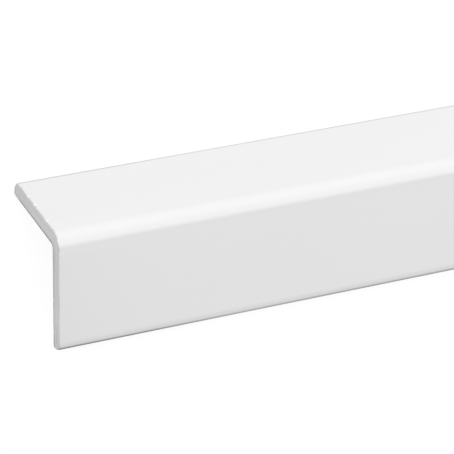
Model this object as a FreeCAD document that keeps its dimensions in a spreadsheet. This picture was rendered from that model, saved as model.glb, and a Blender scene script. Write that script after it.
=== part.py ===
"""Corner guard moulding: an equal-leg angle extruded in rigid white PVC and sawn square to a stock length.

It covers an outside wall corner. The outer corner is rounded, each leg ends in a broad rounded lip on the
side that shows and a small eased heel on the side that lies on the wall, and the inside corner has a small
fillet. It is one piece with one section along its whole length.

Millimetres. X runs along the stock, Z is up. The moulding lies as it comes to rest on a floor: corner
upwards, on the heels of its two legs. The origin is on the floor, under the middle of the stock.
"""

import FreeCAD, Part
import enum
import math
import os

import Sketcher

# Driving dimensions: alias, value in millimetres, what it measures
DIMENSIONS = (
    ("stock_length", 1219.2, "length as sold, saw cut to saw cut: 4 ft"),
    ("leg_width", 28.6, "outside width of each leg, from the sharp outer corner to the end of the leg"),
    ("wall", 3.8, "thickness of each leg"),
    ("corner_radius", 3.2, "round on the outer corner"),
    ("inside_fillet", 1.0, "fillet in the inside corner"),
    ("heel_radius", 0.5, "easing of a leg's end on the wall side"),
    ("end_flat", 0.2, "flat on a leg's end between heel and lip; the lip rounds over the rest of the wall"),
)
ROLL_TO_REST = -45.0  # degrees about the stock's length, from legs back and down to corner upwards


class At(enum.IntEnum):
    """The end of a line or an arc that a sketch constraint takes hold of."""

    START = 1
    END = 2


class Own(enum.IntEnum):
    """The sketch's own elements: its two axes. The flat one starts at the origin."""

    FLAT_AXIS = -1
    UPRIGHT_AXIS = -2


ORIGIN = (Own.FLAT_AXIS, At.START)


def dimension_sheet(doc):
    """The driving dimensions, and the height of the sharp outer corner above the floor at rest."""
    sheet = doc.addObject("Spreadsheet::Sheet", "Dimensions")
    for row, (alias, value, meaning) in enumerate(DIMENSIONS, start=1):
        sheet.set(f"A{row}", meaning)
        sheet.set(f"B{row}", str(value))
        sheet.setAlias(f"B{row}", alias)
    row = len(DIMENSIONS) + 1
    sheet.set(f"A{row}", "height of the sharp outer corner when both heels rest on the floor")
    sheet.set(f"B{row}", "=(leg_width + wall - 2 * heel_radius) / sqrt(2) + heel_radius")
    sheet.setAlias(f"B{row}", "rest_height")
    doc.recompute()
    return sheet


def section_rounds(sheet):
    """The six rounds of the section: name, centre, radius, start and end angle in degrees.

    They follow each other round the outline with the plastic on the left. In the sketch's own x and y the
    sharp outer corner is at 0, 0, the back leg runs along +x and the front leg along -y.
    """
    leg, wall = sheet.leg_width, sheet.wall
    corner, fillet, heel = sheet.corner_radius, sheet.inside_fillet, sheet.heel_radius
    lip = wall - sheet.end_flat - heel
    return (
        ("corner_round", (corner, -corner), corner, 90, 180),
        ("front_lip", (lip, lip - leg), lip, 180, 270),
        ("front_heel", (wall - heel, heel - leg), heel, 270, 360),
        ("inside_round", (wall + fillet, -wall - fillet), fillet, 90, 180),
        ("back_heel", (leg - heel, heel - wall), heel, 270, 360),
        ("back_lip", (leg - lip, -lip), lip, 0, 90),
    )


def tie(sketch, kind, *places):
    """Adds one constraint to the sketch and returns its number."""
    return sketch.addConstraint(Sketcher.Constraint(kind, *places))


def draw_outline(sketch, rounds):
    """Adds the rounds and the flats between them, tangent all the way. Returns each one's number by name.

    The outline passes every round from its start to its end, but the hollow one inside from end to start.
    """
    flats = ("front_face", "front_end", "front_inside", "back_inside", "back_end", "back_face")
    passes = {name: (At.START, At.END) for name, *_ in rounds}
    passes["inside_round"] = (At.END, At.START)
    number = {}
    for name, (x, y), radius, start, end in rounds:
        circle = Part.Circle(FreeCAD.Vector(x, y, 0), FreeCAD.Vector(0, 0, 1), radius)
        arc = Part.ArcOfCircle(circle, math.radians(start), math.radians(end))
        number[name] = sketch.addGeometry(arc)
    for k, flat in enumerate(flats):
        before, after = rounds[k][0], rounds[(k + 1) % len(rounds)][0]
        leaves, enters = passes[before][1], passes[after][0]
        line = Part.LineSegment(
            sketch.getPoint(number[before], leaves), sketch.getPoint(number[after], enters)
        )
        number[flat] = sketch.addGeometry(line)
        tie(sketch, "Tangent", number[before], leaves, number[flat], At.START)
        tie(sketch, "Tangent", number[flat], At.END, number[after], enters)
    return number


def constrain_outline(sketch, sheet, number):
    """Squares the flats, puts the outer faces on the sketch's axes and ties each size to the sheet."""
    for flat in ("back_face", "back_inside", "front_end"):
        tie(sketch, "Horizontal", number[flat])
    for flat in ("front_face", "front_inside", "back_end"):
        tie(sketch, "Vertical", number[flat])
    tie(sketch, "PointOnObject", number["back_face"], At.START, Own.FLAT_AXIS)
    tie(sketch, "PointOnObject", number["front_face"], At.START, Own.UPRIGHT_AXIS)

    def size(name, alias, kind, *places):
        index = tie(sketch, kind, *places, getattr(sheet, alias))
        sketch.renameConstraint(index, name)
        sketch.setExpression(f"Constraints.{name}", f"Dimensions.{alias}")

    size("back_width", "leg_width", "DistanceX", *ORIGIN, number["back_end"], At.START)
    size("front_width", "leg_width", "DistanceY", number["front_end"], At.START, *ORIGIN)
    size("back_wall", "wall", "DistanceY", number["back_inside"], At.START, *ORIGIN)
    size("front_wall", "wall", "DistanceX", *ORIGIN, number["front_inside"], At.START)
    size("corner_radius", "corner_radius", "Radius", number["corner_round"])
    size("inside_fillet", "inside_fillet", "Radius", number["inside_round"])
    size("back_heel_radius", "heel_radius", "Radius", number["back_heel"])
    size("front_heel_radius", "heel_radius", "Radius", number["front_heel"])
    size("back_flat", "end_flat", "DistanceY", number["back_end"], At.START, number["back_end"], At.END)
    size("front_flat", "end_flat", "DistanceX", number["front_end"], At.START, number["front_end"], At.END)


def corner_guard(doc, sheet):
    """The extrusion: its section padded to both sides of the middle, then rolled over on to its heels."""
    body = doc.addObject("PartDesign::Body", "CornerGuard")
    body.Label = "corner_guard"
    section = body.newObject("Sketcher::SketchObject", "Section")
    plane = next(feature for feature in body.Origin.OriginFeatures if feature.Role == "YZ_Plane")
    section.AttachmentSupport = [(plane, "")]
    section.MapMode = "FlatFace"
    number = draw_outline(section, section_rounds(sheet))
    constrain_outline(section, sheet, number)
    doc.recompute()

    pad = body.newObject("PartDesign::Pad", "Extrusion")
    pad.Profile = section
    pad.SideType = "Symmetric"
    pad.setExpression("Length", "Dimensions.stock_length")
    body.Placement = FreeCAD.Placement(
        FreeCAD.Vector(), FreeCAD.Rotation(FreeCAD.Vector(1, 0, 0), ROLL_TO_REST)
    )
    body.setExpression("Placement.Base.z", "Dimensions.rest_height")
    return body


def check_document(doc, pieces):
    """Stops before anything is written if a feature failed, a sketch is loose or a piece is not one solid."""
    for item in doc.Objects:
        if {"Invalid", "Error"} & set(item.State):
            raise RuntimeError(f"{item.Label} did not recompute: {item.State}")
        if item.isDerivedFrom("Sketcher::SketchObject") and not item.FullyConstrained:
            raise RuntimeError(f"{item.Label} has sizes that nothing sets")
    for piece in pieces:
        shape = piece.Shape
        if shape.isNull() or not shape.isValid() or len(shape.Solids) != 1:
            raise RuntimeError(f"{piece.Label} is not one valid solid")


def main():
    doc = FreeCAD.newDocument("CornerGuardMoulding")
    sheet = dimension_sheet(doc)
    pieces = [corner_guard(doc, sheet)]
    doc.recompute()
    check_document(doc, pieces)
    os.makedirs("parts", exist_ok=True)
    for piece in pieces:
        piece.Shape.exportStep(os.path.join("parts", f"{piece.Label}.step"))
        box = piece.Shape.BoundBox
        print(
            f"{piece.Label}: {box.XLength:.2f} x {box.YLength:.2f} x {box.ZLength:.2f} mm, "
            f"lowest {box.ZMin:.4f}, volume {piece.Shape.Volume / 1000:.2f} cm3"
        )


main()
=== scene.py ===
# %% [markdown]
# # A white corner guard, one saw cut to the other
#
# A corner guard is an angle of white plastic that is glued over an outside wall corner, so that the plaster
# doesn't chip. It is extruded: soft plastic is pushed through a die, cooled and sawn to length. This lesson
# rebuilds one as a single surface, because the real thing is a single piece.
#
# The CAD model comes first. It fixes the size and the place of everything, and what is added here is the
# part that a CAD solid leaves out: how the saw left the two ends, how flat the faces really are, and the
# finish.

import bpy
import numpy as np
from mathutils import Matrix, Vector


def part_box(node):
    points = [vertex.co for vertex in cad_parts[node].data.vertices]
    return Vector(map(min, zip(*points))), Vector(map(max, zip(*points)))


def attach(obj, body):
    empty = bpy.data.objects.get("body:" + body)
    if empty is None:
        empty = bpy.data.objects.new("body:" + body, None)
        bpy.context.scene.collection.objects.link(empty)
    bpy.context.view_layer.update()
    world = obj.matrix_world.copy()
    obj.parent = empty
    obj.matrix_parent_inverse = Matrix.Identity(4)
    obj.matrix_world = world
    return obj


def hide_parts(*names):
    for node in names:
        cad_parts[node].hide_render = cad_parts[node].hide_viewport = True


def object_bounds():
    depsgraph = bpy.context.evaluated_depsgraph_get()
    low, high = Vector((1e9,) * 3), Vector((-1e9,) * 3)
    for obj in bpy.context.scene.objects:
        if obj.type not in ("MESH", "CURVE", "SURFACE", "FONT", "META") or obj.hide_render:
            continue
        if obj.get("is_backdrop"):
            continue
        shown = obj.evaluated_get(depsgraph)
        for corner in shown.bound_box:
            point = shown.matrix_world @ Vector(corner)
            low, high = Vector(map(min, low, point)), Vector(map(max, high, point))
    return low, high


MM = 0.001  # sizes in this lesson are in millimetres, and Blender works in metres
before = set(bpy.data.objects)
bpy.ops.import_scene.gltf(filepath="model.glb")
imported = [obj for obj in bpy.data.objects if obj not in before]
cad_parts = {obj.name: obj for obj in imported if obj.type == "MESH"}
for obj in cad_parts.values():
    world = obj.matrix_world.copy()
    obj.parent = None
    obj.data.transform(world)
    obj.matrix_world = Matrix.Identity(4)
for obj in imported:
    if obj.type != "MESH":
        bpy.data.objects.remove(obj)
cad_low, cad_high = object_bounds()
node_low, node_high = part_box("corner_guard")
cad_size = (node_high - node_low) / MM
print(f"CAD solid: {cad_size.x:.2f} x {cad_size.y:.2f} x {cad_size.z:.2f} mm")

# %% [markdown]
# ## The section
#
# The die gives the moulding its section: two legs of one width, a round outer corner, a broad round lip on
# the show side of each leg's end and a small heel on its wall side. It could be drawn as a curve and
# bevelled, but then the ends could only be flat. Here the section is a loop of points worked out with numpy,
# and each point knows which way is out of the plastic. Later steps move it in or out along that direction.
#
# The loop lives in section space: `back` runs along the back leg, `up` runs out of that leg's face, and the
# sharp outer corner is at 0, 0. The front leg runs along minus `up`.

# %% Sizes of the section
ROOT_TWO = np.sqrt(2.0)
LENGTH = cad_size.x
LEG = 28.6             # outside width of a leg, from the sharp outer corner
WALL = 3.8
CORNER_RADIUS = 3.2
INSIDE_FILLET = 1.0
HEEL_RADIUS = 0.5
END_FLAT = 0.2         # on a leg's end, between the lip and the heel
LIP_RADIUS = WALL - END_FLAT - HEEL_RADIUS
REST_HEIGHT = (LEG + WALL - 2 * HEEL_RADIUS) / ROOT_TWO + HEEL_RADIUS   # of the sharp corner, on the floor
crown = REST_HEIGHT - (ROOT_TWO - 1) * CORNER_RADIUS
print(f"crown of the round corner at {crown:.3f} mm, top of the CAD solid at {node_high.z / MM:.3f} mm")

# %% One side of the section
FLAT_STEPS = 180   # about an eighth of a millimetre each, fine enough for the ragged saw edge
LIP_STEPS = 20
CORNER_STEPS = 24


def section_side(rounds):
    """One side of the section, from the back leg's end to the front leg's end.

    A round is its centre plus its radius times (cos a, sin a), for evenly spaced angles a. A flat is the
    straight line from one round to the next. Gives the points, the directions out of the plastic, and the
    bow of each point: 4 t (1 - t) on a flat, where t runs from 0 to 1 along it, and 0 on a round.
    """
    arcs = []
    for centre, radius, start, stop, steps, out in rounds:
        angle = np.radians(np.linspace(start, stop, steps + 1))
        spoke = np.stack([np.cos(angle), np.sin(angle)], axis=1)
        arcs.append((np.array(centre) + radius * spoke, out * spoke, 0 * angle))
    t = np.linspace(0, 1, FLAT_STEPS + 1)[1:-1]
    stretches = [arcs[0]]
    for before, after in zip(arcs, arcs[1:]):
        first, last = before[0][-1], after[0][0]
        line = first + t[:, None] * (last - first)
        facing = np.repeat(before[1][-1:], len(t), axis=0)
        stretches += [(line, facing, 4 * t * (1 - t)), after]
    return [np.concatenate(column) for column in zip(*stretches)]


CONVEX, HOLLOW = 1, -1
show_side, show_out, show_bow = section_side([
    ((LEG - LIP_RADIUS, -LIP_RADIUS), LIP_RADIUS, 0, 90, LIP_STEPS, CONVEX),
    ((CORNER_RADIUS, -CORNER_RADIUS), CORNER_RADIUS, 90, 180, CORNER_STEPS, CONVEX),
    ((LIP_RADIUS, LIP_RADIUS - LEG), LIP_RADIUS, 180, 270, LIP_STEPS, CONVEX),
])
INSIDE = WALL + INSIDE_FILLET
wall_side, wall_out, wall_bow = section_side([
    ((LEG - HEEL_RADIUS, HEEL_RADIUS - WALL), HEEL_RADIUS, 0, -90, LIP_STEPS, CONVEX),
    ((INSIDE, -INSIDE), INSIDE_FILLET, 90, 180, CORNER_STEPS, HOLLOW),
    ((WALL - HEEL_RADIUS, HEEL_RADIUS - LEG), HEEL_RADIUS, 0, -90, LIP_STEPS, CONVEX),
])
print(f"{len(show_side)} points on the show side, {len(wall_side)} on the wall side")

# %% The whole loop
WALL_STEPS = 28
across = (1 - np.cos(np.linspace(0, np.pi, WALL_STEPS + 1))) / 2   # 0 on the show side, 1 on the wall side
inner_across = across[1:-1]
front_tip = show_side[-1] + inner_across[:, None] * (wall_side[-1] - show_side[-1])
back_tip = show_side[0] + inner_across[:, None] * (wall_side[0] - show_side[0])
front_out = np.tile([0.0, -1.0], (len(front_tip), 1))
back_out = np.tile([1.0, 0.0], (len(back_tip), 1))
tip_zero = np.zeros(len(inner_across))
loop = np.concatenate([show_side, front_tip, wall_side[::-1], back_tip[::-1]])
loop_out = np.concatenate([show_out, front_out, wall_out[::-1], back_out])
loop_bow = np.concatenate([show_bow, tip_zero, wall_bow[::-1], tip_zero])
# How far each point lies across the wall, as in `across`
show_zero, wall_one = np.zeros(len(show_side)), np.ones(len(wall_side))
loop_side = np.concatenate([show_zero, inner_across, wall_one, inner_across[::-1]])

steps_round = np.linalg.norm(np.roll(loop, -1, axis=0) - loop, axis=1)
perimeter = steps_round.sum()
travel = np.cumsum(steps_round) - steps_round   # distance round the loop from the back leg's end
sharp_corner = np.pi / 2 * LIP_RADIUS + LEG - LIP_RADIUS   # travel at which the show faces would meet
wall_along = travel[:len(show_side)]
loop_along = np.concatenate([wall_along, tip_zero + wall_along[-1], wall_along[::-1], tip_zero])
print(f"loop of {len(loop)} points, {perimeter:.1f} mm round")

# %% [markdown]
# ## The shoulder of the corner
#
# Under the lamp the round corner shows as a pale band. Its edge on the back leg is soft, but on the front leg
# it is crisp: the plastic sagged a little on that side as it cooled, so the round keeps its slope and then
# turns sharply into the flat. A second, smaller round could be drawn there. It is less work to push the
# finished loop out by a low bell curve, a tenth of a millimetre high, where the corner runs into the front
# face.

# %% Push the loop out at the shoulder
SHOULDER_HEIGHT = 0.10
SHOULDER_WIDTH = 0.55
SHOULDER_PLACE = 0.85      # before the end of the round

round_end = sharp_corner - CORNER_RADIUS + np.pi / 2 * CORNER_RADIUS
shoulder = SHOULDER_HEIGHT * np.exp(-((travel - round_end + SHOULDER_PLACE) / SHOULDER_WIDTH) ** 2)
loop = loop + shoulder[:, None] * loop_out
print(f"corner round ends {round_end:.2f} mm round the loop, shoulder {shoulder.max():.3f} mm high")

# %% [markdown]
# ## The sawn ends
#
# A saw never leaves the clean corner of a CAD solid. The cut is a little out of square. On the show side its
# edge is broken by a few tenths of a millimetre. On the back leg, where the teeth came in, it is ragged, and
# here and there a crumb of plastic stands up beside the bite that it came from. On the front leg, where they
# ran out, it is calmer. The wall side stays nearly sharp, and the tips of the legs got blunted. A Bevel
# modifier would round every edge alike, so the edge is made here instead: a quarter round whose radius
# wanders along the outline. It is carried as two numbers for each point of the loop on each ring: how deep
# the ring lies behind the end of the stock, and how far it is pulled in.

# %% A wavy line round the section, and a soft step
EDGE_WAVES = (17, 29, 47, 71)    # whole numbers of waves round the loop


def ripple(waves, seed):
    """A wavy line from -1 to 1 round the loop that closes on itself.

    It is a sum of sines with whole numbers of waves round the loop and phases drawn from the seed, divided
    by its largest swing.
    """
    phase = np.random.default_rng(seed).uniform(0, 2 * np.pi, len(waves))
    turn = 2 * np.pi * travel / perimeter
    wave = np.sin(np.outer(turn, waves) + phase).sum(axis=1)
    return wave / np.abs(wave).max()


def fade(value, start, stop):
    """0 up to start and 1 from stop on, by 3 t t - 2 t t t between them, where t is the share of the way."""
    t = np.clip((value - start) / (stop - start), 0, 1)
    return t * t * (3 - 2 * t)


print(f"edge waves from {perimeter / EDGE_WAVES[-1]:.1f} to {perimeter / EDGE_WAVES[0]:.1f} mm long")

# %% Rings of a sawn end
SKEW_BACK = 0.0080         # the blade stood half a degree out of square: the cut runs in along the back leg
SKEW_FRONT = 0.0070        # and out along the front leg
LEAN = 0.12                # the wall edge lies this much deeper than the show edge
EDGE_BACK = 0.22           # radius of the broken edge on the show side of the back leg
EDGE_FRONT = 0.25          # on that of the front leg
EDGE_WALL = 0.06           # and on the wall side
SWING_BACK = 0.90          # the share of the show side's radius that comes and goes, where the teeth came in
SWING_FRONT = 0.25         # and where they ran out
CORNER_TURN = (-2.0, 3.0)  # past the sharp corner: here the back leg's values turn into the front leg's
EDGE_TIP = 0.46            # radius round the blunted tips of the legs, less than the heel's own
TIP_DEEPER = 0.34          # and the tips are worn this much further along the stock
TIP_REACH = (0.5, 3.0)     # where the tips fade into the sides, along the leg from its end
RAGGED_BACK = 0.08         # how far the edge goes in and out along the stock, on the back leg
RAGGED_FRONT = 0.03        # and on the front leg
BITE_SHARE = 0.6           # a bite goes this much of its height into the stock
CRUMB_DEPTH = 0.35         # crumbs and bites fall to about a third at this depth behind the cut
ARRIS_STEPS = 5            # flats that make up the quarter round
BEHIND_EDGE = np.array([0.1, 0.2, 0.35, 0.6, 1.2, 3.0, 8.0, 20.0])   # rings behind the edge, closest first
SETTLE = 6.0               # behind this depth the rings are square to the stock again


def sawn_end(seed, crumbs):
    """Depth and inset of the rings at one end, each as rings by loop points, and how far the edge is bitten.

    The edge is a quarter round of radius r: inset r (1 - sin a), depth r (1 - cos a), for a from 0 to 90
    degrees. At the tips it is drawn out along the stock. The cut is a plane, deepest at the back leg's end,
    plus the lean. Each crumb is a bell curve, height times exp(-(distance along the edge / width) squared),
    and fades by another one behind the edge. A bite is a crumb below zero. The bites and a wavy line move
    the edge into the stock, and that fades the same way. The tips are plain: no lean, waves or bites.
    """
    front = fade(travel - sharp_corner, *CORNER_TURN)
    from_end = np.minimum(LEG - loop[:, 0], LEG + loop[:, 1])
    tip = 1 - fade(from_end, *TIP_REACH)
    broken = EDGE_BACK + (EDGE_FRONT - EDGE_BACK) * front
    swing = SWING_BACK + (SWING_FRONT - SWING_BACK) * front
    broken = broken * (1 + swing * (1 - tip) * ripple(EDGE_WAVES, seed))
    edge = broken * (1 - loop_side) + EDGE_WALL * loop_side
    edge = edge + (EDGE_TIP - edge) * tip
    worn = edge + TIP_DEEPER * tip
    cut = SKEW_BACK * loop[:, 0] + SKEW_FRONT * (loop[:, 1] + LEG) + LEAN * (1 - tip) * loop_side
    ragged = (RAGGED_BACK + (RAGGED_FRONT - RAGGED_BACK) * front) * (1 - tip)
    bitten = ragged * (1 + ripple(EDGE_WAVES, seed + 1)) / 2 * (1 - loop_side)
    raised = np.zeros(len(loop))
    for place, height, width in crumbs:
        bell = height * np.exp(-((travel - place) / width) ** 2)
        raised += bell
        bitten += BITE_SHARE * np.maximum(-bell, 0)
    angle = np.linspace(0, np.pi / 2, ARRIS_STEPS + 1)[:, None]
    depth = cut + worn * (1 - np.cos(angle))
    inset = edge * (1 - np.sin(angle))
    settled = np.clip(1 - BEHIND_EDGE / SETTLE, 0, 1)[:, None]
    depth = np.concatenate([depth, BEHIND_EDGE[:, None] + depth[-1] * settled])
    inset = np.concatenate([inset, np.zeros((len(BEHIND_EDGE), len(loop)))])
    at_edge = np.exp(-((depth - cut) / CRUMB_DEPTH) ** 2)
    return depth + bitten * at_edge, inset - raised * at_edge, bitten


# Crumbs and bites: distance before the corner along the back leg, or past it below zero, height and width
near_crumbs = [(sharp_corner - back, height, width) for back, height, width in (
    (19.7, 0.28, 0.28), (18.9, -0.26, 0.45), (15.6, 0.28, 0.28), (14.8, -0.28, 0.50),
    (11.2, -0.22, 0.40), (8.0, 0.26, 0.28), (7.2, -0.22, 0.45), (3.4, -0.18, 0.35),
    (1.4, -0.24, 0.40), (-2.1, -0.24, 0.45))]
far_crumbs = [(sharp_corner - back, height, width) for back, height, width in (
    (21.0, 0.18, 0.28), (11.3, 0.24, 0.28), (10.6, -0.24, 0.45))]
NEAR_EDGE_SEED, FAR_EDGE_SEED = 11, 23
near_depth, near_inset, near_bitten = sawn_end(NEAR_EDGE_SEED, near_crumbs)
far_depth, far_inset, far_bitten = sawn_end(FAR_EDGE_SEED, far_crumbs)
print(f"near cut {near_depth[0].min():.2f} to {near_depth[0].max():.2f} mm deep, "
      f"edge {near_inset[0].min():.2f} to {near_inset[0].max():.2f} mm, "
      f"rings at least {np.diff(near_depth, axis=0).min():.4f} mm apart")

# %% [markdown]
# ## The run between the ends
#
# An extrusion cools from its skin inwards and shrinks, so its broad faces end up very slightly hollow, and
# the haul-off pulls it a touch unevenly. Both are only hundredths of a millimetre, too little to see as
# shape, but they keep a long reflection from being dead straight. They only ever go inwards, so the guard
# stays inside the CAD solid's box.

# %% Stack the rings
RING_SPACING = 40.0    # what varies along the stock runs straight from one of these rings to the next
HOLLOW_DEPTH = 0.015   # from shrinking
HAUL_DEPTH = 0.02      # and this much more at most from the haul-off
HAUL_LENGTH = 330.0
SKIN = 0.012           # keeps the rounds inside the flats that stand for them in the CAD mesh

middle = np.arange(RING_SPACING, LENGTH - RING_SPACING + 1, RING_SPACING)
flat_rings = np.repeat(middle[:, None], len(loop), axis=1)
along = np.concatenate([near_depth, flat_rings, LENGTH - far_depth[::-1]])
inset = np.concatenate([near_inset, np.zeros_like(flat_rings), far_inset[::-1]])
haul = HAUL_DEPTH * (1 + np.sin(2 * np.pi * along / HAUL_LENGTH)) / 2
inset = inset + SKIN + loop_bow * (HOLLOW_DEPTH + haul)
section = loop - inset[..., None] * loop_out
rings = np.concatenate([along[..., None], section], axis=2)   # rings x loop x (along, back, up)
print(f"{len(rings)} rings of {rings.shape[1]} points, "
      f"faces hollow by up to {HOLLOW_DEPTH + HAUL_DEPTH:.3f} mm")

# %% [markdown]
# ## Closing the ends
#
# The end face shows how the plastic was made: a hard skin on both sides and a softer core, so the blade
# leaves faint wavy ridges that follow the wall round the corner. The face is a ruled grid. One parameter runs
# along the wall and the other across it, straight from a point of the show side to its partner on the wall
# side. The grid's border is the first ring itself, so the mesh stays closed.

# %% A grid over an end
RIDGE_SPACING = 1.3
RIDGE_DEPTH = 0.12
RIDGE_SWAY = 0.15      # of a ridge's spacing, to either side
SWAY_LENGTH = 9.0
SLOW_SWAY_LENGTH = 24.3
BITE_FADE = 8          # the power by which a bite fades across the face
TIP_FADE = 5.0         # the relief fades out over this length at the tips


def ridges(seed):
    """Depth of the wavy ridges on an end face, as wall points by steps across.

    A sine across the wall every RIDGE_SPACING, whose phase sways by sines along the wall, faded to nothing at
    both sides by 4 b (1 - b), where b is the share of the way across.
    """
    sway_phase, slow_phase = np.random.default_rng(seed).uniform(0, 2 * np.pi, 2)
    length = wall_along[:, None]
    sway = RIDGE_SWAY * np.sin(2 * np.pi * length / SWAY_LENGTH + sway_phase)
    sway = sway + RIDGE_SWAY * np.sin(2 * np.pi * length / SLOW_SWAY_LENGTH + slow_phase)
    wave = np.sin(2 * np.pi * (across * WALL / RIDGE_SPACING + sway))
    return RIDGE_DEPTH * (1 + wave) / 2 * 4 * across * (1 - across)


def end_grid(ring, first_free):
    """Vertex numbers of an end face, wall points by steps across: its border is a ring, its inside is new."""
    wall, steps = len(show_side), len(across)
    inner = steps - 2
    number = np.empty((wall, steps), int)
    number[:, 0] = ring[:wall]
    number[-1, 1:-1] = ring[wall:wall + inner]
    number[:, -1] = ring[wall + inner:2 * wall + inner][::-1]
    number[0, 1:-1] = ring[2 * wall + inner:][::-1]
    number[1:-1, 1:-1] = first_free + np.arange((wall - 2) * inner).reshape(wall - 2, inner)
    return number


def relief(seed, bitten):
    """What an end face's inside is moved by along the stock: the ridges, and a faster fade for the bites.

    The straight blend across the face carries a bite all the way, as 1 - b. This turns it into (1 - b) to a
    power, where b is the share of the way across. Both fade out at the tips, where the border isn't moved.
    """
    left = 1 - across
    moved = ridges(seed) + bitten[:len(show_side), None] * (left ** BITE_FADE - left)
    inside = fade(wall_along, 0, TIP_FADE) * fade(wall_along[-1] - wall_along, 0, TIP_FADE)
    return moved * inside[:, None]


def end_points(number, placed, moved):
    """Inside points of an end face: a straight blend across from the border, moved along the stock."""
    from_side, to_side = placed[number[:, 0]], placed[number[:, -1]]
    blend = from_side[:, None] + across[:, None] * (to_side - from_side)[:, None]
    blend[..., 0] += moved
    return blend[1:-1, 1:-1].reshape(-1, 3)


NEAR_RIDGE_SEED, FAR_RIDGE_SEED = 5, 6
ring_points = rings.reshape(-1, 3)
ring_number = np.arange(len(ring_points)).reshape(rings.shape[:2])
near_number = end_grid(ring_number[0], len(ring_points))
near_points = end_points(near_number, ring_points, relief(NEAR_RIDGE_SEED, near_bitten))
far_number = end_grid(ring_number[-1], len(ring_points) + len(near_points))
far_points = end_points(far_number, ring_points, -relief(FAR_RIDGE_SEED, far_bitten))
points = np.concatenate([ring_points, near_points, far_points])
print(f"{len(points)} points, {len(near_points)} of them inside each end face")

# %% Where each point lies in the wall
# Along the wall, and across it from the show side: the pattern on the sawn ends follows these two.
loop_place = np.stack([loop_along, WALL * loop_side, np.zeros(len(loop))], axis=1)
ring_place = np.tile(loop_place, (len(rings), 1))
end_along, end_across = np.meshgrid(wall_along[1:-1], WALL * inner_across, indexing="ij")
end_place = np.stack([end_along, end_across, np.zeros_like(end_along)], axis=2).reshape(-1, 3)
wall_place = np.concatenate([ring_place, end_place, end_place])
print(f"the wall is {wall_along[-1]:.1f} mm long along the show side")

# %% [markdown]
# ## Painted shade and painted highlight
#
# Three marks are painted into the colour of the skin. Along the outermost line of both lips runs a thin grey
# line that comes and goes, darker on the front leg and near the ends of the stock: painted shade, where the
# rounded lips turn away from the light. The faces are a shade greyer over the last few centimetres at the
# ends, and the front face is greyer down towards its lip: painted shade as well. And just behind each crumb
# that the saw tore up the colour is paler: a painted highlight, where the crumb catches the light. All three
# follow the piece, so they are stored as a number for each point and not drawn as a pattern in space.

# %% Painted shade on the lips and faces, painted highlight behind the crumbs
BACK_LINE = (3.5, 11.5)     # the line fades in between these angles round the lip, from the show face
FRONT_LINE = (26.5, 37.0)
BACK_LINE_SHADE = 0.37            # how much of the line is painted shade, on the back leg
FRONT_LINE_SHADE = 0.86           # on the front leg
END_LINE_SHADE = 0.14             # and this much more at the ends of that one
END_REACH = 5.0             # that falls to about a third over this length
LINE_WAVE_LENGTH = 90.0           # the lines come and go along the stock
LINE_WAVE_PEAK = 12.0             # and are strongest this far from the near end
LINE_WAVE_SWING = 0.24
LOW_FRONT_SHADE = 0.022              # how much of the front face is painted shade, down at its lip
LOW_FRONT_RISE = (2.0, 28.0)   # it grows between these, down from the corner
END_FACE_SHADE = 0.06              # how much of the front face is painted shade at the very end of the stock
END_FACE_REACH = 20.0        # that falls to about a third over this length
FRONT_START = (0.0, 5.0)    # and sets in between these, from the corner
BACK_SHARE = 0.4            # and the back leg has this much of it
BACK_START = (4.0, 9.0)     # and there it sets in between these
# Painted highlight: a paler spot just behind each crumb that stands up, where it catches the light
HIGHLIGHT_SIZE = 0.36
HIGHLIGHT_BACK = 0.3             # the paler spot lies this far behind the edge


def painted_highlight(along, across_mm, depth, crumbs):
    """Painted highlight: a sum of bell curves just behind the crumbs that stand up, exp(-(distance / size)
    squared).
    """
    pale = 0
    for place, height, _ in crumbs:
        if height > 0:
            squared = (along - place) ** 2 + across_mm ** 2 + (depth - HIGHLIGHT_BACK) ** 2
            pale = pale + np.exp(-squared / HIGHLIGHT_SIZE ** 2)
    return pale


back_turn = np.degrees((np.pi / 2 * LIP_RADIUS - loop_along) / LIP_RADIUS)
front_turn = np.degrees((loop_along - wall_along[-1] + np.pi / 2 * LIP_RADIUS) / LIP_RADIUS)
back_line = BACK_LINE_SHADE * fade(back_turn, *BACK_LINE) * (1 - loop_side)
front_line = fade(front_turn, *FRONT_LINE) * (1 - loop_side)
line_wave = 1 - LINE_WAVE_SWING * (1 - np.cos(2 * np.pi * (along - LINE_WAVE_PEAK) / LINE_WAVE_LENGTH))
at_ends = np.exp(-along / END_REACH) + np.exp((along - LENGTH) / END_REACH)
# None of it on the cut, all of it behind the broken edge
ring = np.arange(len(along))[:, None]
on_skin = np.clip(np.minimum(ring, ring[::-1]) / ARRIS_STEPS, 0, 1)
# Painted shade: a grey line along the outermost line of the lips, where their rounding turns away from the
# light
lip_shade = on_skin * (line_wave * (back_line + FRONT_LINE_SHADE * front_line) + END_LINE_SHADE * at_ends * front_line)
from_corner = loop_along - sharp_corner    # along the front leg, below zero on the back leg
by_leg = fade(from_corner, *FRONT_START) + BACK_SHARE * fade(-from_corner, *BACK_START)
near_ends = np.exp(-along / END_FACE_REACH) + np.exp((along - LENGTH) / END_FACE_REACH)
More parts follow.
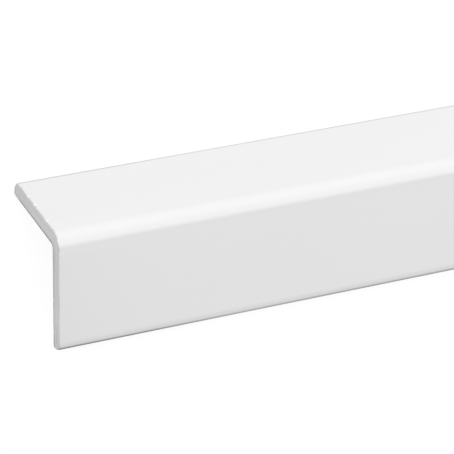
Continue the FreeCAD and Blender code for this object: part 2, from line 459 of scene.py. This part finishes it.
# Painted shade: the faces greyer near the ends of the stock, and the front face greyer down towards its lip
face_shade = END_FACE_SHADE * by_leg * near_ends + LOW_FRONT_SHADE * fade(from_corner, *LOW_FRONT_RISE)
painted_skin_shade = np.concatenate([np.maximum(lip_shade, face_shade).ravel(), np.zeros(2 * len(end_place))])
near_highlight = painted_highlight(loop_along, WALL * loop_side, near_depth - near_depth[0], near_crumbs)
far_highlight = painted_highlight(loop_along, WALL * loop_side, far_depth - far_depth[0], far_crumbs)[::-1]
no_highlight = np.zeros(len(middle) * len(loop))
end_highlight = [painted_highlight(end_place[:, 0], end_place[:, 1], 0, crumbs) for crumbs in (near_crumbs, far_crumbs)]
paler = np.concatenate([near_highlight.ravel(), no_highlight, far_highlight.ravel(), *end_highlight])
print(f"dirt on {np.mean(lip_shade > 0.1):.0%} of the points, {np.sum(paler > 0.5)} pale points")

# %% [markdown]
# ## From arrays to a mesh
#
# The loop turns anticlockwise seen from the far end, so a face that goes round the loop first and along the
# stock second points out of the plastic. The end grids turn the other way on the near end. Section space is
# rolled 45 degrees into the part's frame, because the guard lies on the floor with its corner up.

# %% Build the piece
def quads(number):
    """Four-sided faces of a grid of vertex numbers, turning from the first direction to the second."""
    corners = [number[:-1, :-1], number[1:, :-1], number[1:, 1:], number[:-1, 1:]]
    return np.stack(corners, axis=-1).reshape(-1, 4)


def to_frame(place):
    """Section space to the part's frame, in metres.

    x = along - length / 2, y = (back + up) / root two, z = rest height + (up - back) / root two.
    """
    stock, back, up = place.T
    x = stock - LENGTH / 2
    y = (back + up) / ROOT_TWO
    z = REST_HEIGHT + (up - back) / ROOT_TWO
    return np.stack([x, y, z], axis=1) * MM


closed = np.concatenate([ring_number, ring_number[:, :1]], axis=1)
long_faces = quads(closed.T)
end_faces = np.concatenate([quads(near_number)[:, ::-1], quads(far_number)])
faces = np.concatenate([long_faces, end_faces])
EXTRUDED, SAWN = 0, 1               # the order in which the two materials are added
gap = np.arange(len(rings) - 1)     # from one ring to the next
on_saw_edge = (gap < ARRIS_STEPS) | (gap >= len(gap) - ARRIS_STEPS)
gap_finish = np.where(on_saw_edge, SAWN, EXTRUDED)
finish = np.concatenate([np.tile(gap_finish, len(loop)), np.full(len(end_faces), SAWN)])

mesh = bpy.data.meshes.new("corner_guard_extrusion")
mesh.from_pydata(to_frame(points).tolist(), [], faces.tolist())
mesh.polygons.foreach_set("use_smooth", np.ones(len(faces), bool))
wall_data = mesh.attributes.new("wall_place", "FLOAT_VECTOR", "POINT").data
wall_data.foreach_set("vector", (MM * wall_place).ravel())
mesh.attributes.new("painted_skin_shade", "FLOAT", "POINT").data.foreach_set("value", painted_skin_shade)
mesh.attributes.new("painted_highlight", "FLOAT", "POINT").data.foreach_set("value", paler)
guard = bpy.data.objects.new("corner_guard_extrusion", mesh)
bpy.context.collection.objects.link(guard)
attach(guard, "root")
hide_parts("corner_guard")
print(f"{len(mesh.vertices)} vertices, {2 * len(faces)} triangles, {np.sum(finish == SAWN)} sawn faces")

# %% [markdown]
# ## The plastic
#
# Rigid PVC is white right through, from titanium dioxide mixed into it. Where it slid along the polished die
# it has a satin skin with fine lines along its length. Where the saw went through there is no skin, so the
# same plastic is duller and scatters light a little more unevenly. Both finishes are procedural. They read
# Object coordinates and the numbers stored with each point, so they stay put when the part is moved or
# exported.

# %% Colours and nodes
def linear(hex_colour):
    """An sRGB hex colour as linear red, green, blue and alpha.

    Each channel c becomes c / 12.92 up to 0.04045, and ((c + 0.055) / 1.055) to the power 2.4 above it.
    """
    channels = np.array([hex_colour >> 16 & 255, hex_colour >> 8 & 255, hex_colour & 255]) / 255
    curve = np.where(channels <= 0.04045, channels / 12.92, ((channels + 0.055) / 1.055) ** 2.4)
    return (*curve.tolist(), 1.0)


def add_node(tree, kind, inputs=None, **settings):
    """Adds a node. Settings are its own properties; an input is a value, or another node's socket to link."""
    node = tree.nodes.new(kind)
    for name, value in settings.items():
        setattr(node, name, value)
    for socket, value in (inputs or {}).items():
        if isinstance(value, bpy.types.NodeSocket):
            tree.links.new(value, node.inputs[socket])
        else:
            node.inputs[socket].default_value = value
    return node


def new_material(name):
    """An empty node material, and its node tree."""
    material = bpy.data.materials.new(name)
    material.use_nodes = True
    material.node_tree.nodes.clear()
    return material, material.node_tree


print("white plastic in linear light:", [round(v, 3) for v in linear(0xEEEEEE)[:3]])

# %% Nodes that both finishes use
PVC_IOR = 1.53
# The grey of all the painted shade, and the white of the painted highlight behind the crumbs
PAINTED_SHADE_GREY = linear(0x707070)
PAINTED_HIGHLIGHT_WHITE = linear(0xFCFCFC)
NOISE_RANGE = (0.3, 0.7)        # where most values of a noise lie
# Sockets of a Mix node by number: factor, two values, two colours and the colour that comes out
FACTOR, FIRST_VALUE, SECOND_VALUE, FIRST_COLOUR, SECOND_COLOUR, MIXED_COLOUR = 0, 2, 3, 6, 7, 2


def stored(tree, name):
    """A number that is stored with each point."""
    return add_node(tree, "ShaderNodeAttribute", attribute_name=name).outputs["Fac"]


def noise(tree, place, size, detail, roughness=0.5):
    """A noise with lumps of about the size, in the units of the place.

    A stretched place is already counted in lumps, so the size is 1 there.
    """
    inputs = {"Vector": place, "Scale": 1 / size, "Detail": detail, "Roughness": roughness}
    return add_node(tree, "ShaderNodeTexNoise", inputs).outputs[0]


def to_range(tree, value, low, high, new_low=0.0, new_high=1.0):
    """A value carried in a straight line from low and high to the new low and high, and held between them."""
    inputs = {"Value": value, "From Min": low, "From Max": high, "To Min": new_low, "To Max": new_high}
    return add_node(tree, "ShaderNodeMapRange", inputs).outputs[0]


def combine(tree, operation, first, second):
    """Two values combined by one operation."""
    return add_node(tree, "ShaderNodeMath", {0: first, 1: second}, operation=operation).outputs[0]


def mix_colours(tree, factor, first, second):
    """The first colour where the factor is 0, the second where it is 1."""
    inputs = {FACTOR: factor, FIRST_COLOUR: first, SECOND_COLOUR: second}
    return add_node(tree, "ShaderNodeMix", inputs, data_type="RGBA").outputs[MIXED_COLOUR]


def with_painted_light(tree, clean, painted_shade):
    """A clean colour, greyed by painted shade, then paler by a painted highlight behind the crumbs."""
    shaded_colour = mix_colours(tree, painted_shade, clean, PAINTED_SHADE_GREY)
    return mix_colours(tree, stored(tree, "painted_highlight"), shaded_colour, PAINTED_HIGHLIGHT_WHITE)


print(f"dirt {PAINTED_SHADE_GREY[0]:.2f} and torn plastic {PAINTED_HIGHLIGHT_WHITE[0]:.2f} in linear light")

# %% Extruded rigid PVC
# A satin white: broad soft highlights, and die lines that only show where a highlight grazes them.
DIE_LINE_SPACING = 0.8      # real die lines are nearer 0.1 mm; drawn coarser so that they show in a render
DIE_LINE_LENGTH = 600.0
DIE_LINE_HEIGHT = 0.05
DIE_LINE_STRENGTH = 0.12
CLOUD_SIZE = 45.0           # patches where the skin cooled a little glossier
GRAIN_SIZE = 0.5
GRAIN_HEIGHT = 0.03
GRAIN_STRENGTH = 0.05
STREAKY_RANGE = (0.1, 0.45)     # where the die lines times the patches mostly lie
SATIN = (0.53, 0.63)            # the roughness at the two ends of that
SKIN_WHITES = (linear(0xEDEDED), linear(0xF0F0F0))

extruded, tree = new_material("extruded_rigid_pvc")
place = add_node(tree, "ShaderNodeTexCoord").outputs["Object"]
stretch = (1 / (DIE_LINE_LENGTH * MM), 1 / (DIE_LINE_SPACING * MM), 1 / (DIE_LINE_SPACING * MM))
drawn = add_node(tree, "ShaderNodeMapping", {"Vector": place, "Scale": stretch}).outputs[0]
die_lines = noise(tree, drawn, size=1.0, detail=2.0, roughness=0.6)
clouds = noise(tree, place, size=CLOUD_SIZE * MM, detail=3.0)
grain = noise(tree, place, size=GRAIN_SIZE * MM, detail=1.0)
white = mix_colours(tree, clouds, *SKIN_WHITES)
surface = with_painted_light(tree, white, stored(tree, "painted_skin_shade"))
gloss = to_range(tree, combine(tree, "MULTIPLY", die_lines, clouds), *STREAKY_RANGE, *SATIN)
lines_bump = add_node(tree, "ShaderNodeBump", {
    "Height": die_lines, "Strength": DIE_LINE_STRENGTH, "Distance": DIE_LINE_HEIGHT * MM})
skin_bump = add_node(tree, "ShaderNodeBump", {
    "Height": grain, "Strength": GRAIN_STRENGTH, "Distance": GRAIN_HEIGHT * MM,
    "Normal": lines_bump.outputs[0]})
plastic = add_node(tree, "ShaderNodeBsdfPrincipled", {
    "Base Color": surface, "Roughness": gloss, "IOR": PVC_IOR, "Normal": skin_bump.outputs[0]})
add_node(tree, "ShaderNodeOutputMaterial", {"Surface": plastic.outputs[0]})
guard.data.materials.append(extruded)
print(f"{extruded.name}: {len(tree.nodes)} nodes, die lines every {DIE_LINE_SPACING} mm")

# %% Sawn rigid PVC
# Duller than the skin: the blade tears the surface into fine scratches. Its greys are darker than the skin's
# white, which is painted shade on the end face. It streaks between them along the wall, where the blade
# smeared the softer core, more on the front leg where it ran out, and a thin line of painted shade runs along
# the wall-side edge.
SCRATCH_SPACING = 0.35
SCRATCH_HEIGHT = 0.08
SCRATCH_STRENGTH = 0.25
DULL = (0.55, 0.75)         # the roughness at the two ends of the scratches' range
STREAK_LENGTH = 14.0
STREAK_SPACING = 0.8
STREAK_BACK = 0.45          # contrast of the streaks on the back leg, against the front leg's
STREAK_TURN = (-3.0, 2.0)   # past the sharp corner: here it turns into that one
NO_STREAK = 0.5             # half way between the two greys
# Darker than the skin's whites, which is painted shade on the end face; the streaks run between the two
SHADED_CORE_GREYS = (linear(0xCDCDCD), linear(0xE8E8E8))
# A thin line of painted shade along the wall-side edge of the cut, where it turns away from the light
SHADE_LINE_WIDTH = 0.70
SHADE_LINE_START = (4.5, 9.0)     # along the wall from the back leg's end: the line of painted shade fades in between these
SHADE_PATCH_SIZE = 0.9             # the line is patchy
SHADE_PATCH_RANGE = (0.22, 0.5)    # none of it below this, all of it above

sawn, tree = new_material("sawn_rigid_pvc")
place = add_node(tree, "ShaderNodeTexCoord").outputs["Object"]
in_wall = add_node(tree, "ShaderNodeAttribute", attribute_name="wall_place").outputs["Vector"]
by_axis = add_node(tree, "ShaderNodeSeparateXYZ", {0: in_wall}).outputs
stretch = (1 / (STREAK_LENGTH * MM), 1 / (STREAK_SPACING * MM), 1.0)
smeared = add_node(tree, "ShaderNodeMapping", {"Vector": in_wall, "Scale": stretch}).outputs[0]
streak = to_range(tree, noise(tree, smeared, size=1.0, detail=2.0), *NOISE_RANGE)
turn_start, turn_stop = [(sharp_corner + past) * MM for past in STREAK_TURN]
contrast = to_range(tree, by_axis["X"], turn_start, turn_stop, STREAK_BACK, 1.0)
streak = add_node(tree, "ShaderNodeMix", {
    FACTOR: contrast, FIRST_VALUE: NO_STREAK, SECOND_VALUE: streak}, data_type="FLOAT").outputs[0]
grey = mix_colours(tree, streak, *SHADED_CORE_GREYS)
# Painted shade: a patchy grey line along the wall-side edge, past the heel
at_wall_edge = to_range(tree, by_axis["Y"], (WALL - SHADE_LINE_WIDTH) * MM, WALL * MM)
patchy = to_range(tree, noise(tree, place, size=SHADE_PATCH_SIZE * MM, detail=2.0), *SHADE_PATCH_RANGE)
past_heel = to_range(tree, by_axis["X"], SHADE_LINE_START[0] * MM, SHADE_LINE_START[1] * MM)
arris_shade = combine(tree, "MULTIPLY", combine(tree, "MULTIPLY", at_wall_edge, patchy), past_heel)
painted_shade = combine(tree, "MAXIMUM", arris_shade, stored(tree, "painted_skin_shade"))
surface = with_painted_light(tree, grey, painted_shade)
scratches = noise(tree, place, size=SCRATCH_SPACING * MM, detail=3.0, roughness=0.65)
gloss = to_range(tree, scratches, *NOISE_RANGE, *DULL)
scratch_bump = add_node(tree, "ShaderNodeBump", {
    "Height": scratches, "Strength": SCRATCH_STRENGTH, "Distance": SCRATCH_HEIGHT * MM})
plastic = add_node(tree, "ShaderNodeBsdfPrincipled", {
    "Base Color": surface, "Roughness": gloss, "IOR": PVC_IOR, "Normal": scratch_bump.outputs[0]})
add_node(tree, "ShaderNodeOutputMaterial", {"Surface": plastic.outputs[0]})
guard.data.materials.append(sawn)
mesh.polygons.foreach_set("material_index", finish)
mesh.update()
print(f"{sawn.name}: {len(tree.nodes)} nodes on {np.sum(finish == SAWN)} faces")

# %% [markdown]
# ## Floor and surroundings
#
# The guard lies on a white studio floor. A plain white floor would look grey beside a white part, because it
# returns only part of the light. So what the camera sees of it, directly or in a reflection, has some light
# of its own added: enough for white where the floor is open, while the shadow under the guard still shows.
# The light that the floor throws back on to the guard stays that of ordinary pale paper.

# %% White floor
FLOOR_HALF = 30.0           # metres
PAPER = linear(0xCCCCCC)
SHADE_PART = 0.12           # what the camera sees: this much of it takes the shadow
GLOW_PART = 0.92            # and this much doesn't
PLAIN_WHITE = (1, 1, 1, 1)


def seen_directly(tree):
    """One where a ray comes from the camera, a reflection or a clear material, else nothing."""
    ray = add_node(tree, "ShaderNodeLightPath").outputs
    seen = combine(tree, "MAXIMUM", ray["Is Camera Ray"], ray["Is Glossy Ray"])
    return combine(tree, "MAXIMUM", seen, ray["Is Transmission Ray"])


floor_mesh = bpy.data.meshes.new("studio_floor")
floor_corners = [(-FLOOR_HALF, -FLOOR_HALF, 0), (FLOOR_HALF, -FLOOR_HALF, 0),
                 (FLOOR_HALF, FLOOR_HALF, 0), (-FLOOR_HALF, FLOOR_HALF, 0)]
floor_mesh.from_pydata(floor_corners, [], [(0, 1, 2, 3)])
floor = bpy.data.objects.new("studio_floor", floor_mesh)
bpy.context.collection.objects.link(floor)
floor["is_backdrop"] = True
paper, tree = new_material("white_studio_paper")
thrown_back = add_node(tree, "ShaderNodeBsdfDiffuse", {"Color": PAPER})
shaded = add_node(tree, "ShaderNodeBsdfDiffuse", {"Color": (SHADE_PART, SHADE_PART, SHADE_PART, 1)})
glow = add_node(tree, "ShaderNodeEmission", {"Color": PLAIN_WHITE, "Strength": GLOW_PART})
shown = add_node(tree, "ShaderNodeAddShader", {0: shaded.outputs[0], 1: glow.outputs[0]})
mixed = add_node(tree, "ShaderNodeMixShader", {
    0: seen_directly(tree), 1: thrown_back.outputs[0], 2: shown.outputs[0]})
add_node(tree, "ShaderNodeOutputMaterial", {"Surface": mixed.outputs[0]})
floor_mesh.materials.append(paper)
print(f"floor of {2 * FLOOR_HALF:.0f} m, throwing back {PAPER[0]:.2f} of the light")

# %% White surroundings
ROOM_LIGHT = 0.80           # what lights the guard
ROOM_SEEN = 1.0             # what the camera sees

world = bpy.data.worlds.new("white_studio")
world.use_nodes = True
bpy.context.scene.world = world
tree = world.node_tree
tree.nodes.clear()
room = add_node(tree, "ShaderNodeBackground", {"Color": PLAIN_WHITE, "Strength": ROOM_LIGHT})
seen = add_node(tree, "ShaderNodeBackground", {"Color": PLAIN_WHITE, "Strength": ROOM_SEEN})
mixed = add_node(tree, "ShaderNodeMixShader", {
    0: seen_directly(tree), 1: room.outputs[0], 2: seen.outputs[0]})
add_node(tree, "ShaderNodeOutputWorld", {"Surface": mixed.outputs[0]})
print(f"room light {ROOM_LIGHT}")

# %% [markdown]
# ## The lamp
#
# One long softbox hangs over the guard, a little behind it. It is much longer than the stock, so that both
# ends and the middle get nearly the same light. The round corner turns from one leg's face to the other under
# it, and catches the most light of all where it faces the softbox: that is the pale band along the corner.

# %% Overhead softbox
# Sizes and distances in metres
SOFTBOX_LENGTH = 3.2
SOFTBOX_WIDTH = 1.0
SOFTBOX_HEIGHT = 1.6
SOFTBOX_BACK = 0.62
SOFTBOX_WATTS = 13.0

lamp_data = bpy.data.lights.new("overhead_softbox", "AREA")
lamp_data.shape = "RECTANGLE"
lamp_data.size = SOFTBOX_LENGTH
lamp_data.size_y = SOFTBOX_WIDTH
lamp_data.energy = SOFTBOX_WATTS
softbox = bpy.data.objects.new("overhead_softbox", lamp_data)
softbox.location = (0.0, SOFTBOX_BACK, SOFTBOX_HEIGHT)
softbox.rotation_euler = (np.arctan2(-SOFTBOX_BACK, SOFTBOX_HEIGHT), 0, 0)
bpy.context.collection.objects.link(softbox)
print(f"softbox {SOFTBOX_LENGTH} x {SOFTBOX_WIDTH} m at {SOFTBOX_HEIGHT} m")

# %% [markdown]
# ## The camera
#
# The picture is a close view of the near end, taken with a long lens from above and a little in front. The
# camera is rolled, because in the picture the front leg hangs straight down while here the guard lies on both
# legs. The camera is placed by the spot it looks at, a distance, two angles and the roll.

# %% Camera
LOOK_ALONG = 38.50          # the spot on the front face, from the near saw cut
LOOK_DOWN = 5.18            # and below the sharp outer corner
DISTANCE = 559.3
AZIMUTH = -56.599           # degrees, as the next two: from the front, round towards the far end
ELEVATION = 64.669          # above the floor
ROLL = -43.087              # about the line of sight
LENS = 207.62
SENSOR = 36.0
CLIP_START, CLIP_END = 0.01, 100.0      # metres

look_at = Vector(to_frame(np.array([[LOOK_ALONG, 0.0, -LOOK_DOWN]]))[0])
turn, rise, roll = np.radians([AZIMUTH, ELEVATION, ROLL])
towards_camera = Vector((np.sin(turn) * np.cos(rise), -np.cos(turn) * np.cos(rise), np.sin(rise)))
level_right = Vector((0, 0, 1)).cross(towards_camera).normalized()
level_up = towards_camera.cross(level_right)
right = np.cos(roll) * level_right - np.sin(roll) * level_up
up = np.cos(roll) * level_up + np.sin(roll) * level_right
camera_data = bpy.data.cameras.new("camera")
camera_data.lens = LENS
camera_data.sensor_width = SENSOR
camera_data.sensor_height = SENSOR
camera_data.clip_start = CLIP_START
camera_data.clip_end = CLIP_END
camera = bpy.data.objects.new("camera", camera_data)
eye = look_at + DISTANCE * MM * towards_camera
axes = Matrix((right, up, towards_camera)).transposed()
camera.matrix_world = Matrix.Translation(eye) @ axes.to_4x4()
bpy.context.collection.objects.link(camera)
bpy.context.scene.camera = camera
bpy.context.scene.view_settings.view_transform = "Standard"
print("camera at", [round(v / MM, 1) for v in eye], "mm")

# %% How far the guard reaches outside the CAD box
visual_low, visual_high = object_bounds()
over = max(max(cad_low - visual_low), max(visual_high - cad_high)) / MM
print(f"furthest outside the CAD box: {over:.4f} mm")
